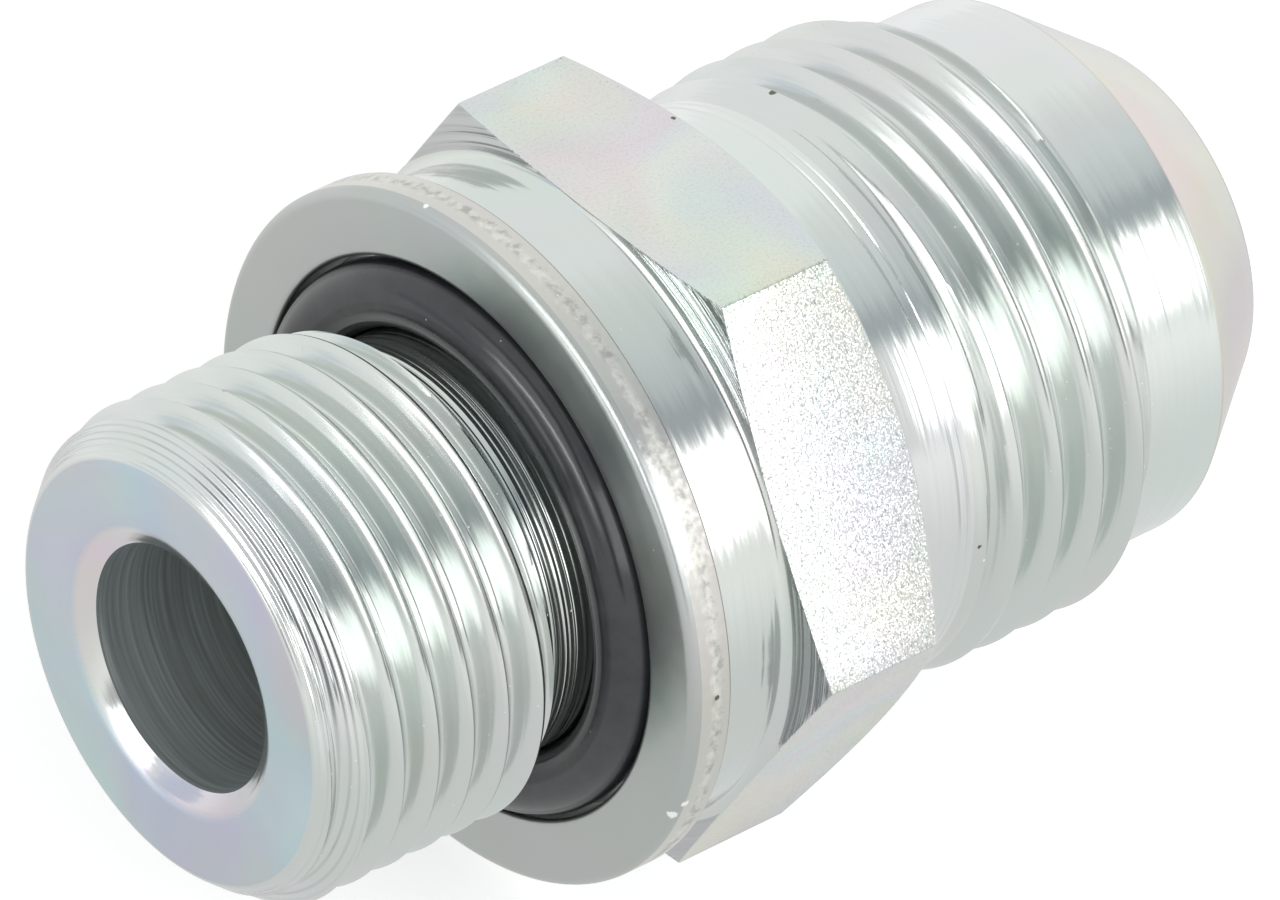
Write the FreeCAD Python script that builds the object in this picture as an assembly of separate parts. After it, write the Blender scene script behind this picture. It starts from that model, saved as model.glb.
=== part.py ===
import FreeCAD, Part
import math
import os
from FreeCAD import Vector

# Straight adapter fitting with a metric stud end and a 37 degree flare end, in millimetres.
# X runs along the fitting from the stud end to the flare end, and Z is square to the top flat of
# the hexagon. The origin is on the axis, in the plane where the retaining ring meets its port.

# Stud end, from its end face to the shoulder
stud_length = 13.9
stud_end_diameter = 15.5
stud_lead_in_length = 1.45
stud_thread_diameter = 17.9
stud_thread_length = 9.3
stud_runout_length = 1.1
stud_neck_diameter = 15.2
stud_bore_diameter = 9.0
stud_countersink_diameter = 10.9
stud_countersink_depth = 0.5

# Collar between the shoulder and the hexagon
collar_diameter = 23.6
collar_length = 2.75
collar_fillet = 0.5

# Hexagon
hex_across_flats = 24.0
hex_length = 6.15
hex_front_angle = 8.0
hex_rear_angle = 30.0
hex_rear_face_diameter = 23.1

# Flare end, from the hexagon to the nose
flare_neck_diameter = 21.1
flare_neck_length = 3.6
flare_relief_depth = 0.15
flare_relief_width = 0.4
flare_relief_position = 2.45
flare_thread_diameter = 22.16
flare_thread_length = 8.0
flare_thread_start_length = 1.1
flare_thread_end_length = 1.1
pilot_diameter = 19.9
pilot_length = 3.35
nose_half_angle = 37.0
nose_face_diameter = 13.6
flare_bore_diameter = 12.3
flare_bore_depth = 18.5
drill_point_angle = 118.0

# Retaining ring, a stamped washer with a rounded rim and a lightly broken hole
ring_width = 2.45
ring_thickness = 1.63
ring_outer_radius = 0.42
ring_entry_radius = 0.25

# O-ring, which sits on the neck, against the shoulder and inside the ring
o_ring_section = 2.4
o_ring_clearance = 0.05
ring_to_o_ring_gap = 0.17

# Roundings are turned as short cones that each take up to this many degrees
rounding_step = 30.0

# Stations along X that follow from the sizes
shoulder_x = ring_thickness
stud_end_x = shoulder_x - stud_length
stud_thread_end_x = stud_end_x + stud_thread_length
collar_end_x = shoulder_x + collar_length
fillet_turn = math.radians(90.0 - hex_front_angle)
hex_front_x = collar_end_x + collar_fillet * math.sin(fillet_turn)
hex_front_radius = collar_diameter / 2 + collar_fillet * (1 - math.cos(fillet_turn))
hex_rear_x = hex_front_x + hex_length
flare_neck_end_x = hex_rear_x + flare_neck_length
flare_thread_end_x = flare_neck_end_x + flare_thread_length
pilot_end_x = flare_thread_end_x + pilot_length
nose_length = (pilot_diameter - nose_face_diameter) / 2 / math.tan(math.radians(nose_half_angle))
nose_x = pilot_end_x + nose_length


def at(x, radius):
    """Point of a half section: station along the axis and distance from it."""
    return Vector(x, 0, radius)


def rounding(centre_x, centre_radius, radius, start, end):
    """Points along an arc of a half section, with its angles in degrees from the +X direction."""
    count = math.ceil(abs(end - start) / rounding_step)
    points = []
    for index in range(count + 1):
        angle = math.radians(start + (end - start) * index / count)
        points.append(at(centre_x + radius * math.cos(angle), centre_radius + radius * math.sin(angle)))
    return points


def turned(points):
    """Solid of revolution about X of a half section, given by its corners in order."""
    section = Part.Face(Part.makePolygon(points + [points[0]]))
    return section.revolve(Vector(0, 0, 0), Vector(1, 0, 0), 360)


def stud_and_collar():
    neck_radius = stud_neck_diameter / 2
    thread_radius = stud_thread_diameter / 2
    collar_radius = collar_diameter / 2
    return turned([
        at(stud_end_x, 0),
        at(stud_end_x, stud_end_diameter / 2),
        at(stud_end_x + stud_lead_in_length, thread_radius),
        at(stud_thread_end_x, thread_radius),
        at(stud_thread_end_x + stud_runout_length, neck_radius),
        at(shoulder_x, neck_radius),
        at(shoulder_x, collar_radius),
        at(collar_end_x, collar_radius),
        at(collar_end_x, 0),
    ])


def hexagon():
    """Hexagonal bar, turned at the front to a fillet and a steep face, and chamfered at the rear."""
    corner_radius = hex_across_flats / 2 / math.cos(math.radians(30))
    beyond_corners = corner_radius + 1
    front_rise = (beyond_corners - hex_front_radius) * math.tan(math.radians(hex_front_angle))
    rear_radius = hex_rear_face_diameter / 2
    rear_fall = (beyond_corners - rear_radius) * math.tan(math.radians(hex_rear_angle))
    fillet_centre_radius = collar_diameter / 2 + collar_fillet
    envelope = turned([
        at(collar_end_x, 0),
        *rounding(collar_end_x, fillet_centre_radius, collar_fillet, -90, -hex_front_angle),
        at(hex_front_x + front_rise, beyond_corners),
        at(hex_rear_x - rear_fall, beyond_corners),
        at(hex_rear_x, rear_radius),
        at(hex_rear_x, 0),
    ])
    corners = []
    for corner in range(6):
        angle = math.radians(60 * corner)
        y = corner_radius * math.cos(angle)
        z = corner_radius * math.sin(angle)
        corners.append(Vector(collar_end_x, y, z))
    section = Part.Face(Part.makePolygon(corners + [corners[0]]))
    bar = section.extrude(Vector(hex_rear_x - collar_end_x, 0, 0))
    return bar.common(envelope)


def flare_end():
    neck_radius = flare_neck_diameter / 2
    thread_radius = flare_thread_diameter / 2
    relief_x = hex_rear_x + flare_relief_position
    return turned([
        at(hex_rear_x, 0),
        at(hex_rear_x, neck_radius),
        at(relief_x - flare_relief_width / 2, neck_radius),
        at(relief_x, neck_radius - flare_relief_depth),
        at(relief_x + flare_relief_width / 2, neck_radius),
        at(flare_neck_end_x, neck_radius),
        at(flare_neck_end_x + flare_thread_start_length, thread_radius),
        at(flare_thread_end_x - flare_thread_end_length, thread_radius),
        at(flare_thread_end_x, pilot_diameter / 2),
        at(pilot_end_x, pilot_diameter / 2),
        at(nose_x, nose_face_diameter / 2),
        at(nose_x, 0),
    ])


def through_bore():
    """Bores drilled from both ends, with a countersunk mouth at the stud."""
    stud_radius = stud_bore_diameter / 2
    flare_radius = flare_bore_diameter / 2
    flare_bore_end_x = nose_x - flare_bore_depth
    point_length = (flare_radius - stud_radius) / math.tan(math.radians(drill_point_angle / 2))
    return turned([
        at(stud_end_x, 0),
        at(stud_end_x, stud_countersink_diameter / 2),
        at(stud_end_x + stud_countersink_depth, stud_radius),
        at(flare_bore_end_x - point_length, stud_radius),
        at(flare_bore_end_x, flare_radius),
        at(nose_x, flare_radius),
        at(nose_x, 0),
    ])


def adapter_body():
    solid = stud_and_collar().fuse([hexagon(), flare_end()]).removeSplitter()
    return solid.cut(through_bore()).removeSplitter()


def retaining_ring():
    hole = stud_neck_diameter / 2 + o_ring_clearance + o_ring_section + ring_to_o_ring_gap
    outer = hole + ring_width
    front_x = shoulder_x - ring_thickness
    entry_x = front_x + ring_entry_radius
    rim_x = front_x + ring_outer_radius
    return turned([
        at(shoulder_x, hole),
        *rounding(entry_x, hole + ring_entry_radius, ring_entry_radius, 270, 180),
        *rounding(rim_x, outer - ring_outer_radius, ring_outer_radius, 180, 90),
        at(shoulder_x, outer),
    ])


def o_ring():
    section_radius = o_ring_section / 2
    centre_x = shoulder_x - o_ring_clearance - section_radius
    centre_radius = stud_neck_diameter / 2 + o_ring_clearance + section_radius
    return turned(rounding(centre_x, centre_radius, section_radius, 0, 360)[:-1])


nodes = {
    "adapter_body": adapter_body(),
    "retaining_ring": retaining_ring(),
    "o_ring": o_ring(),
}

os.makedirs("parts", exist_ok=True)
for name, shape in nodes.items():
    solid = shape.Solids[0]
    box = solid.BoundBox
    centre = solid.CenterOfMass
    print(name, "valid", shape.isValid(), "solids", len(shape.Solids), "volume %.1f" % solid.Volume)
    print("  x %.2f to %.2f, y %.2f to %.2f, z %.2f to %.2f, centre x %.2f" % (
        box.XMin, box.XMax, box.YMin, box.YMax, box.ZMin, box.ZMax, centre.x))
    solid.exportStep("parts/" + name + ".step")
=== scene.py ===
"""Looks of the straight adapter fitting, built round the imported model. Lengths in metres."""
import functools
import math

import bmesh
import bpy
from mathutils import Matrix, Vector


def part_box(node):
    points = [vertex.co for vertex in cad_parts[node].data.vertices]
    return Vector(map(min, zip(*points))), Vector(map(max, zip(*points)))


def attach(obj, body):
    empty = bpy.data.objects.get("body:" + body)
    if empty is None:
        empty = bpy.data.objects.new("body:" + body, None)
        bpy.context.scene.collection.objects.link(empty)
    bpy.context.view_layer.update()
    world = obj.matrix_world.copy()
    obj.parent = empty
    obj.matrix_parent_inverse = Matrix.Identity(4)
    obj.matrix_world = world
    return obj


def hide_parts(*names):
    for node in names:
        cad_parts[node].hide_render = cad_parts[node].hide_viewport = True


bl_info = {
    "name": "Straight Adapter Fitting",
    "version": (1, 0, 0),
    "blender": (4, 5, 0),
    "location": "View3D > Sidebar > Fitting",
    "description": "Builds the threaded body, the retaining ring, the O-ring and a plain stage",
    "category": "Add Mesh",
}

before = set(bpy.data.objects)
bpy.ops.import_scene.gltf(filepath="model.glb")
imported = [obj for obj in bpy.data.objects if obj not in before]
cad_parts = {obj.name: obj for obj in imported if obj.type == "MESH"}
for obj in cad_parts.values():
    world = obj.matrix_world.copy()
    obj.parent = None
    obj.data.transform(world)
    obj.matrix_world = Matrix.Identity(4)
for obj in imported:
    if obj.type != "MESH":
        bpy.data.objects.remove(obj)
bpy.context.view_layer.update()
MM = 0.001
TURN = 2 * math.pi
SIXTH = TURN / 6

# Turn about +X, from +Y, of the side of the fitting that faces the camera
VIEW_SIDE = math.radians(133.3)

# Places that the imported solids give
ring_low, ring_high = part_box("retaining_ring")
body_low, body_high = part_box("adapter_body")
STUD_END = body_low.x
NOSE = body_high.x
SHOULDER = ring_high.x
FLOOR = ring_low.z

# Facets: columns round the axis, and rows in one turn of a thread
COLUMNS = 240
ROWS_PER_TURN = 18


def length(label, text, value):
    """A length property, with its default in millimetres."""
    return bpy.props.FloatProperty(
        name=label, description=text, default=value * MM, unit="LENGTH", precision=5)


def angle(label, text, value):
    """An angle property, with its default in degrees."""
    return bpy.props.FloatProperty(
        name=label, description=text, default=math.radians(value), unit="ROTATION")


def amount(label, text, value):
    """A plain number property."""
    return bpy.props.FloatProperty(name=label, description=text, default=value)


def tone(label, text, value):
    """A colour property, in linear red, green and blue."""
    return bpy.props.FloatVectorProperty(
        name=label, description=text, default=value, subtype="COLOR", size=3, min=0, max=1)


class StudSizes(bpy.types.PropertyGroup):
    """Sizes of the stud end, stations measured from its end face."""
    face_radius: length("Face radius", "Radius of the stud's end face", 7.74)
    rim_rounding: length("Rim rounding", "Rounding of the end face's rim", 0.12)
    ridge_step: length("Ridge step", "Distance between the turned ridges of the lead-in", 0.2)
    lead_in: length("Lead-in", "Length of the cone before the full thread", 1.45)
    crest_radius: length("Crest radius", "Radius over the thread's crests", 8.95)
    thread_end: length("Thread end", "Station where the run-out starts", 9.3)
    runout: length("Run-out", "Length of the run-out", 1.1)
    fade_in: length("Fade-in", "Length over which the groove gets its depth", 0.3)
    neck_radius: length("Neck radius", "Radius of the neck", 7.6)
    neck_fillet: length("Neck fillet", "Rounding between the neck and the shoulder", 0.3)
    pitch: length("Pitch", "Advance of the thread in a turn", 1.5)
    depth: length("Depth", "Depth of the thread", 0.90)
    crest_rounding: length("Crest rounding", "Width of the rounding at the thread's crest", 0.62)
    root_rounding: length("Root rounding", "Width of the rounding at the thread's root", 0.06)
    crest_station: length("Crest station", "Station of a crest on the +Y side", 3.64)
    bore_radius: length("Bore radius", "Radius of the bore", 4.5)
    countersink_radius: length("Countersink radius", "Radius of the bore's mouth", 5.45)
    countersink_depth: length("Countersink depth", "Depth of the bore's mouth", 0.5)


class HexSizes(bpy.types.PropertyGroup):
    """Sizes of the collar and the hexagon."""
    collar_radius: length("Collar radius", "Radius of the collar", 11.8)
    collar_length: length("Collar length", "Length of the collar", 2.75)
    collar_break: length("Collar edge break", "Rounding of the collar's front edge", 0.2)
    fillet: length("Fillet", "Rounding between the collar and the hexagon's front", 0.5)
    half_flats: length("Half across flats", "Distance from the axis to a flat", 12.0)
    corner_rounding: length("Corner rounding", "Rounding along the hexagon's corners", 0.09)
    edge_rounding: length("Edge rounding", "Rounding of the flats' end edges", 0.05)
    front_angle: angle("Front angle", "Tilt of the front face", 8)
    rear_angle: angle("Rear angle", "Tilt of the rear chamfer", 30)
    face_to_face: length("Length", "Length from the fillet to the rear face", 6.15)
    rear_radius: length("Rear radius", "Radius of the rear face", 11.55)


class FlareSizes(bpy.types.PropertyGroup):
    """Sizes of the flare end, stations measured from the hexagon's rear face."""
    neck_radius: length("Neck radius", "Radius of the neck", 10.55)
    neck_fillet: length("Neck fillet", "Rounding between the hexagon and the neck", 0.12)
    relief_station: length("Relief station", "Station of the relief line", 2.45)
    relief_width: length("Relief width", "Width of the relief line", 0.4)
    relief_depth: length("Relief depth", "Depth of the relief line", 0.15)
    thread_start: length("Thread start", "Station where the thread starts", 3.1)
    start_length: length("Start length", "Length over which the thread rises", 2.0)
    fade_in: length("Fade-in", "Length over which the groove gets its depth", 1.2)
    crest_radius: length("Crest radius", "Radius over the thread's crests", 11.08)
    thread_end: length("Thread end", "Station where the thread ends", 11.6)
    end_length: length("End length", "Length of the cone after the full thread", 1.1)
    pitch: length("Pitch", "Advance of the thread in a turn", 1.8143)
    depth: length("Depth", "Depth of the thread", 1.08)
    crest_rounding: length("Crest rounding", "Width of the rounding at the thread's crest", 0.70)
    root_rounding: length("Root rounding", "Width of the rounding at the thread's root", 0.10)
    crest_station: length("Crest station", "Station of a crest on the +Y side", 3.915)
    pilot_radius: length("Pilot radius", "Radius of the band after the thread", 9.95)
    pilot_end: length("Pilot end", "Station where the cone starts", 14.95)
    nose_radius: length("Nose radius", "Radius of the nose face", 6.8)
    nose_rounding: length("Nose rounding", "Rounding of the nose", 0.35)
    bore_radius: length("Bore radius", "Radius of the bore", 6.15)
    bore_break: length("Bore break", "Chamfer at the bore's mouth", 0.2)
    bore_depth: length("Bore depth", "Depth of the wide bore", 18.5)
    drill_point: angle("Drill point", "Slope of the cone at the wide bore's end, from the axis", 59)


class RingSizes(bpy.types.PropertyGroup):
    """Sizes of the retaining ring."""
    hole_radius: length("Hole radius", "Radius of the hole", 10.22)
    outer_radius: length("Outer radius", "Radius over the rim", 12.67)
    entry_rounding: length("Entry rounding", "Rounding of the hole's front edge", 0.25)
    rim_rounding: length("Rim rounding", "Rounding of the rim's front edge", 0.42)
    back_rounding: length("Back rounding", "Rounding of the rim's back edge", 0.1)


class SealSizes(bpy.types.PropertyGroup):
    """Sizes of the O-ring."""
    section_radius: length("Section radius", "Radius of the round section", 1.2)
    centre_radius: length("Centre radius", "Distance from the axis to the section's centre", 8.85)
    station: length("Station", "Distance from the shoulder to the section's centre", 1.25)


class Finishes(bpy.types.PropertyGroup):
    """Colours and roughness of the finishes."""
    zinc: tone("Zinc", "Colour of the zinc plate", (0.665, 0.70, 0.68))
    turned_roughness: amount("Turned roughness", "Roughness of the turned zinc plate", 0.17)
    thread_roughness: amount("Thread roughness", "Roughness of the zinc plate on the threads", 0.20)
    # Painted shade: a darker copy of the zinc colour for the hexagon's front face
    steep: tone("Steep face", "Colour of the hexagon's front face", (0.52, 0.53, 0.54))
    band: tone("Band", "Colour of the zinc on the flare end's smooth bands", (0.725, 0.765, 0.745))
    end_face: tone("End face", "Colour of the stud's end face", (0.56, 0.63, 0.67))
    mouth: tone("Mouth", "Colour of the bore's mouth", (0.70, 0.695, 0.67))
    mouth_radius: length("Mouth radius", "Radius where the mouth's colour starts to change", 5.08)
    cone: tone("Cone", "Colour of the flare's cone", (0.69, 0.69, 0.64))
    flat: tone("Hexagon flats", "Colour of the hexagon's flats", (0.70, 0.715, 0.69))
    # Painted shade: the dark colour painted into the lead-in's grooves, for the dark reflection there
    groove: tone("Lead-in groove", "Colour at the bottom of the lead-in's grooves", (0.17, 0.185, 0.20))
    bore: tone("Bore", "Colour of the stud's bore", (0.37, 0.41, 0.405))
    wide_bore: tone("Wide bore", "Colour of the flare end's bore", (0.36, 0.39, 0.38))
    washer: tone("Ring", "Colour of the ring's face", (0.49, 0.515, 0.505))
    sheared: tone("Ring rim", "Colour of the ring's sheared rim", (0.64, 0.64, 0.60))
    seam_station: length("Seam station", "Middle of the rim's rough band, from the ring's front", 1.0)
    rubber: tone("Rubber", "Colour of the O-ring", (0.035, 0.038, 0.042))


class StageSettings(bpy.types.PropertyGroup):
    """Camera, light and floor."""
    focal: amount("Focal length", "Lens in millimetres on a 36 mm wide sensor", 450.0)
    azimuth: angle("Azimuth", "Turn of the part's axis across the picture, from the right", 25.1289)
    elevation: angle("Elevation", "Tilt of the part's axis away from the camera", 32.046)
    roll: angle("Roll", "Turn of the part's top about its own axis, from the camera's side", 43.3)
    stud_right: length("Stud right", "Place of the stud's end right of the view's middle", -15.734)
    stud_down: length("Stud down", "Place of the stud's end below the view's middle", 7.458)
    stud_away: length("Stud distance", "Distance of the stud's end along the view", 533.33)
    lit_station: length("Lit station", "Station on the axis that the lights are placed round", 9.0)
    window: amount("Window", "Radiance of the large light beside the camera", 1.5)
    core: amount("Core", "Radiance of the left light's bright middle, seen in reflections", 15.0)
    fill: amount("Fill", "Strength of the world's even light", 0.55)
    floor_glow: amount("Floor glow", "Light that the floor adds so that it shows white", 0.56)


GROUPS = {
    "stud": StudSizes, "hexagon": HexSizes, "flare": FlareSizes, "washer": RingSizes,
    "seal": SealSizes, "finishes": Finishes, "stage_settings": StageSettings,
}


def new_object(name, data):
    """A new object of the scene that shows this data."""
    holder = bpy.data.objects.new(name, data)
    bpy.context.scene.collection.objects.link(holder)
    return holder


# Node trees

def feed(tree, sockets, entries):
    """Gives each of these inputs its entry, which is a socket to link or a value."""
    for socket, entry in zip(sockets, entries):
        if isinstance(entry, bpy.types.NodeSocket):
            tree.links.new(entry, socket)
        else:
            socket.default_value = entry


def new_node(tree, kind, inputs=None, **settings):
    """A new node with its attributes set, and its named inputs linked or set."""
    node = tree.nodes.new(kind)
    for key, value in settings.items():
        setattr(node, key, value)
    for name, entry in (inputs or {}).items():
        feed(tree, [node.inputs[name]], [entry])
    return node


def math_node(tree, operation, *entries, clamp=False):
    """The output of a Math node on sockets or numbers."""
    node = new_node(tree, "ShaderNodeMath", operation=operation, use_clamp=clamp)
    feed(tree, node.inputs, entries)
    return node.outputs[0]


def fade(tree, value, zero, one):
    """0 where the value is at the first of these numbers, 1 at the second, straight in between."""
    slope = 1 / (one - zero)
    return math_node(tree, "MULTIPLY_ADD", value, slope, -zero * slope, clamp=True)


def spread(tree, share, low, high):
    """A number that goes from low to high as the share goes from 0 to 1."""
    return math_node(tree, "MULTIPLY_ADD", share, high - low, low)


def vector_node(tree, operation, *entries, scale=None):
    """The output of a Vector Math node on sockets or vectors, a number where it measures."""
    node = new_node(tree, "ShaderNodeVectorMath", operation=operation)
    feed(tree, node.inputs, entries)
    if scale is not None:
        feed(tree, [node.inputs["Scale"]], [scale])
    measures = operation in ("DOT_PRODUCT", "DISTANCE", "LENGTH")
    return node.outputs["Value" if measures else "Vector"]


def combine(tree, x, y, z):
    """A vector from three sockets or numbers."""
    return new_node(tree, "ShaderNodeCombineXYZ", {"X": x, "Y": y, "Z": z}).outputs[0]


# Thread

# Inputs of the thread's tree with their defaults: lengths in millimetres, and counts
THREAD_LENGTHS = {
    "Start": 0.0, "End": 10.0, "Pitch": 1.5, "Crest Radius": 9.0, "Depth": 0.9, "Crest Station": 0.0,
    "Start Radius": 8.0, "Start Length": 1.0, "End Radius": 8.0, "End Length": 1.0, "Fade In": 0.0,
    "Crest Rounding": 0.3, "Root Rounding": 0.3,
}
THREAD_COUNTS = {"Rows": 100, "Rows Per Turn": 16, "Columns": 240}

# Half of the flat at a crest, in pitches, and the slope of a 60 degree thread's flank
HALF_CREST = 1 / 16
FLANK_SLOPE = math.sqrt(3)

# Points of a sleeve that lie this near each other become one
WELD = 2e-6


def thread_inputs(tree):
    """Adds the inputs of the thread's tree, and gives the identifier of each."""
    kinds = [(label, "NodeSocketFloat", value * MM) for label, value in THREAD_LENGTHS.items()]
    kinds += [(label, "NodeSocketInt", value) for label, value in THREAD_COUNTS.items()]
    identifiers = {}
    for label, kind, default in kinds:
        socket = tree.interface.new_socket(label, in_out="INPUT", socket_type=kind)
        socket.default_value = default
        identifiers[label] = socket.identifier
    finish = tree.interface.new_socket("Finish", in_out="INPUT", socket_type="NodeSocketMaterial")
    identifiers["Finish"] = finish.identifier
    return identifiers


def groove_depth(number, given, station, turns):
    """How far the thread's surface lies under its crest."""
    # Whole turns keep the fraction's number positive, and half a turn puts a crest at its middle
    wound = number("DIVIDE", number("SUBTRACT", station, given["Crest Station"]), given["Pitch"])
    wound = number("FRACT", number("ADD", number("SUBTRACT", wound, number("FRACT", turns)), 100.5))
    away = number("ABSOLUTE", number("SUBTRACT", wound, 0.5))
    flank = number("MULTIPLY", number("SUBTRACT", away, HALF_CREST), FLANK_SLOPE)
    flank = number("MULTIPLY", flank, given["Pitch"])
    crest = number("MULTIPLY", given["Pitch"], -HALF_CREST * FLANK_SLOPE)
    flank = number("SUBTRACT", number("SMOOTH_MAX", flank, 0.0, given["Crest Rounding"]),
                   number("SMOOTH_MAX", crest, 0.0, given["Crest Rounding"]))
    flank = number("SMOOTH_MIN", flank, given["Depth"], given["Root Rounding"])
    reach = number("DIVIDE", number("SUBTRACT", station, given["Start"]),
                   number("MAXIMUM", given["Fade In"], 1e-6), clamp=True)
    return number("MULTIPLY", flank, number("SMOOTH_MIN", reach, 1.0, 0.2))


def cone_radius(tree, along, start, end, low, high):
    """Radius of a cone that goes from low to high between these stations."""
    node = new_node(tree, "ShaderNodeMapRange", clamp=True)
    feed(tree, node.inputs, (along, start, end, low, high))
    return node.outputs[0]


def thread_tree():
    """Geometry Nodes tree of a right-hand thread round X, a sleeve open at both ends, and its inputs."""
    tree = bpy.data.node_groups.new("helical_thread", "GeometryNodeTree")
    identifiers = thread_inputs(tree)
    tree.interface.new_socket("Geometry", in_out="OUTPUT", socket_type="NodeSocketGeometry")
    given = tree.nodes.new("NodeGroupInput").outputs
    number = functools.partial(math_node, tree)

    # A flat grid: each row winds once round the axis along the thread, and its end columns meet
    columns = given["Columns"]
    last_row = number("SUBTRACT", given["Rows"], 1)
    grid = new_node(tree, "GeometryNodeMeshGrid", {
        "Size X": columns, "Size Y": last_row, "Vertices X": number("ADD", columns, 1),
        "Vertices Y": given["Rows"]})
    position = tree.nodes.new("GeometryNodeInputPosition").outputs[0]
    place = new_node(tree, "ShaderNodeSeparateXYZ", {"Vector": position}).outputs
    column = number("ROUND", number("ADD", place[0], number("DIVIDE", columns, 2)))
    row = number("ROUND", number("ADD", place[1], number("DIVIDE", last_row, 2)))
    turns = number("DIVIDE", column, columns)
    theta = number("MULTIPLY", number("FRACT", turns), TURN)
    step = number("DIVIDE", given["Pitch"], given["Rows Per Turn"])
    station = number("SUBTRACT", given["Start"], given["Pitch"])
    station = number("ADD", station, number("MULTIPLY", row, step))
    station = number("ADD", station, number("MULTIPLY", given["Pitch"], turns))
    station = number("MINIMUM", number("MAXIMUM", station, given["Start"]), given["End"])

    # The thread is cut into a blank that has a cone at each end
    crest = given["Crest Radius"]
    thread = number("SUBTRACT", crest, groove_depth(number, given, station, turns))
    full_start = number("ADD", given["Start"], given["Start Length"])
    full_end = number("SUBTRACT", given["End"], given["End Length"])
    rise = cone_radius(tree, station, given["Start"], full_start, given["Start Radius"], crest)
    fall = cone_radius(tree, station, full_end, given["End"], crest, given["End Radius"])
    radius = number("MINIMUM", number("MINIMUM", rise, fall), thread)
    wound = combine(tree, station, number("MULTIPLY", radius, number("COSINE", theta)),
                    number("MULTIPLY", radius, number("SINE", theta)))

    shaped = new_node(tree, "GeometryNodeSetPosition", {"Geometry": grid.outputs[0], "Position": wound})
    welded = new_node(tree, "GeometryNodeMergeByDistance", {
        "Geometry": shaped.outputs[0], "Distance": WELD})
    real = new_node(tree, "GeometryNodeRealizeInstances", {"Geometry": welded.outputs[0]})
    finish = new_node(tree, "GeometryNodeSetMaterial", {
        "Geometry": real.outputs[0], "Material": given["Finish"]})
    result = tree.nodes.new("NodeGroupOutput")
    tree.links.new(finish.outputs[0], result.inputs[0])
    return tree, identifiers


def thread_mesh(name, tree, identifiers, finish, sizes):
    """Plain mesh of one thread, made by the tree from these sizes."""
    holder = new_object(name, bpy.data.meshes.new(name))
    modifier = holder.modifiers.new("thread", "NODES")
    modifier.node_group = tree
    span = sizes["End"] - sizes["Start"]
    rows = math.ceil((span + sizes["Pitch"]) / sizes["Pitch"] * ROWS_PER_TURN) + 2
    given = {**sizes, "Rows": rows, "Rows Per Turn": ROWS_PER_TURN, "Columns": COLUMNS, "Finish": finish}
    for label, value in given.items():
        modifier[identifiers[label]] = value
    holder.update_tag()
    bpy.context.view_layer.update()
    graph = bpy.context.evaluated_depsgraph_get()
    made = bpy.data.meshes.new_from_object(holder.evaluated_get(graph))
    holder.modifiers.clear()
    bpy.data.objects.remove(holder)
    return made


# Colours and marks of the materials

def grey(level):
    """A neutral colour."""
    return (level, level, level)


def shade(colour, factor):
    """The colour made darker or lighter by this factor."""
    return tuple(min(1.0, factor * part) for part in colour)


WHITE = grey(1.0)
DUST = (0.98, 0.99, 1.0)
DARK_PIT = (0.16, 0.15, 0.12)
DULL_PIT = (0.36, 0.36, 0.36)
RUST_PIT = (0.45, 0.24, 0.06)

# Small marks: station and radius in millimetres, turn in degrees from the camera's side, size, colour
BODY_MARKS = (
    (15.47, 10.9, -57.0, 0.16, DARK_PIT),
    (14.4, 10.55, 47.0, 0.12, DARK_PIT),
    (10.5, 12.17, -53.0, 0.10, DARK_PIT),
    (-6.76, 8.83, -34.0, 0.08, RUST_PIT),
    (-8.2, 8.9, -60.0, 0.16, DULL_PIT),
    (-5.2, 8.7, -62.0, 0.14, DULL_PIT),
)
RING_MARKS = (
    (0.99, 12.67, 42.0, 0.12, DARK_PIT),
    (0.13, 12.50, 66.0, 0.20, WHITE),
    (0.37, 12.64, 63.0, 0.16, WHITE),
    (0.31, 12.60, -56.0, 0.12, WHITE),
)


def new_material(name):
    """A new material, its node tree and its shader."""
    material = bpy.data.materials.new(name)
    material.use_nodes = True
    return material, material.node_tree, material.node_tree.nodes["Principled BSDF"]


class Spot:
    """Sockets with the place on the surface in millimetres."""

    def __init__(self, tree):
        self.tree = tree
        where = tree.nodes.new("ShaderNodeTexCoord").outputs["Object"]
        self.where = vector_node(tree, "SCALE", where, scale=1 / MM)
        parts = new_node(tree, "ShaderNodeSeparateXYZ", {"Vector": self.where})
        self.x, self.y, self.z = parts.outputs
        self.radius = vector_node(tree, "LENGTH", combine(tree, 0.0, self.y, self.z))
        self.turn = math_node(tree, "ARCTAN2", self.z, self.y)

    def round_axis(self):
        """Unit vector that runs round the X axis."""
        across = combine(self.tree, 0.0, math_node(self.tree, "MULTIPLY", self.z, -1.0), self.y)
        return vector_node(self.tree, "NORMALIZE", across)

    def noise(self, fineness, detail, **inputs):
        """Noise node in grains of about one over the fineness in millimetres."""
        return new_node(self.tree, "ShaderNodeTexNoise", {
            "Vector": self.where, "Scale": fineness, "Detail": detail, **inputs})


def times(tree, socket, factor):
    """The socket's number times this factor."""
    return math_node(tree, "MULTIPLY", socket, factor)


def signed_noise(tree, place, extra):
    """Noise between about -1 and 1 in four dimensions."""
    noise = new_node(tree, "ShaderNodeTexNoise", {
        "Vector": place, "W": extra, "Scale": 1.0, "Detail": 1.5, "Roughness": 0.6},
        noise_dimensions="4D")
    return spread(tree, noise.outputs["Fac"], -2.0, 2.0)


def turning_marks(spot, fineness, drift, shift=0.0):
    """Noise that is nearly constant round the axis, as turning marks are."""
    tree = spot.tree
    place = combine(tree, math_node(tree, "MULTIPLY_ADD", spot.x, fineness, shift),
                    times(tree, spot.radius, fineness), times(tree, spot.y, drift))
    return signed_noise(tree, place, times(tree, spot.z, drift))


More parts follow.
